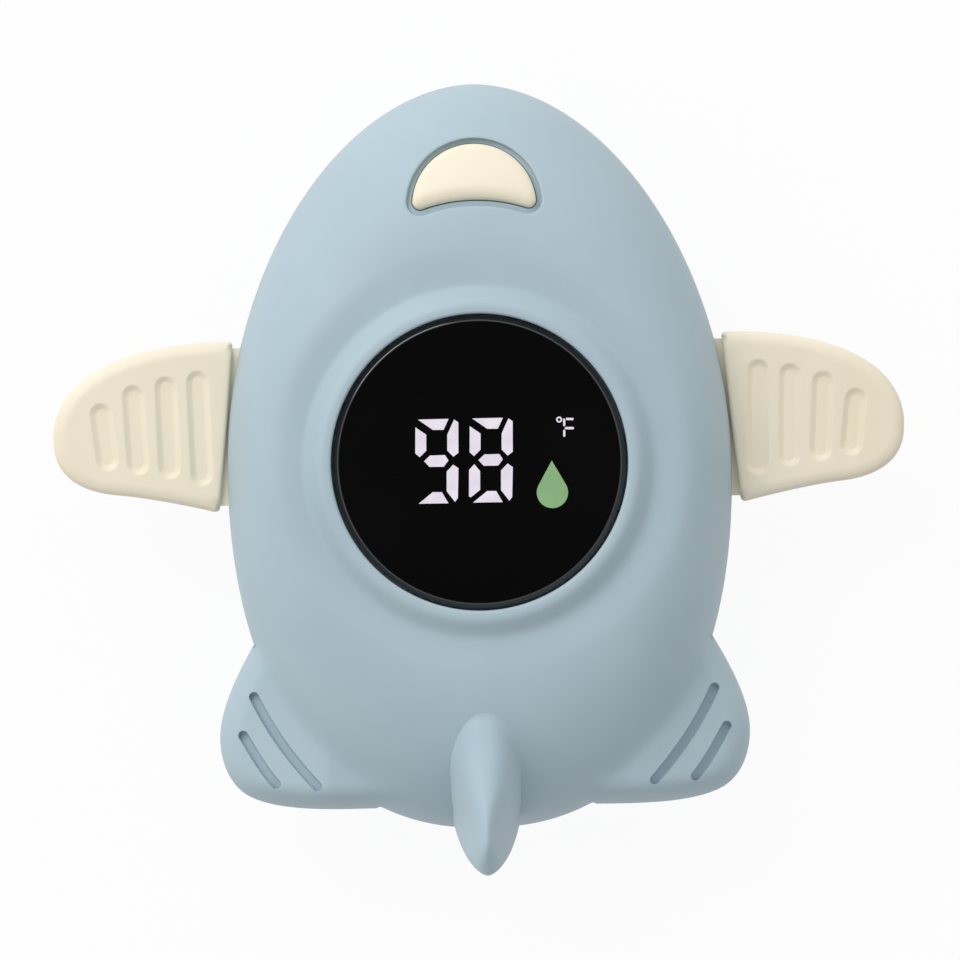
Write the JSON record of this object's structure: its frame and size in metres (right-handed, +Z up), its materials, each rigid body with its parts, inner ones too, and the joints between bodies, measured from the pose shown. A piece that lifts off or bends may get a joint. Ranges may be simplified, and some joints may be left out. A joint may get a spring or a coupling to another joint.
{
  "type": "bath thermometer",
  "caption": "Floating bath thermometer shaped like a small plane, with a round display window, a crescent button, slotted wings and a tail fin.",
  "frame": {"origin": "middle of the object's outline seen from above, on the surface that it rests on", "axes": "+X to the right wing, +Y to the nose, +Z up out of the display"},
  "size_m": [0.1084, 0.1006, 0.0416],
  "materials": {
    "blue_soft_touch": "soft-touch matte",
    "cream_plastic": "matte",
    "black_window": "gloss, tinted",
    "white_plastic": "matte",
    "dark_rubber": "matte",
    "grey_silicone": "matte",
    "board_green": "satin",
    "steel": "brushed",
    "cell_jacket": "plain jacket",
    "red_lead": "satin"
  },
  "bodies": {
    "case": {"upper_shell": "blue_soft_touch", "lower_shell": "blue_soft_touch", "battery_door": "blue_soft_touch", "wing_left": "cream_plastic", "wing_right": "cream_plastic", "display_lens": "black_window", "display_module": "white_plastic", "lens_gasket": "dark_rubber", "button_grommet": "dark_rubber", "probe_seal": "dark_rubber", "switch_base": "dark_rubber", "controller_chip": "dark_rubber", "thermistor": "dark_rubber", "sensor_lead_left": "dark_rubber", "sensor_lead_right": "dark_rubber", "negative_lead": "dark_rubber", "hull_seal": "grey_silicone", "battery_door_seal": "grey_silicone", "main_board": "board_green", "probe_cap": "steel", "bridge_contact": "steel", "bridge_spring": "steel", "positive_contact": "steel", "negative_contact": "steel", "negative_spring": "steel", "door_screw": "steel", "case_screw_front_left": "steel", "case_screw_front_right": "steel", "case_screw_rear_left": "steel", "case_screw_rear_right": "steel", "battery_left": "cell_jacket", "battery_right": "cell_jacket", "positive_lead": "red_lead"},
    "button": {"power_button": "cream_plastic", "switch_stem": "white_plastic"}
  },
  "joints": [
    {"name": "power_button_press", "type": "slide", "parent": "case", "child": "button", "axis": [0, 0, -1], "range_m": [0, 0.0008], "stiffness_N_per_m": 1500}
  ]
}
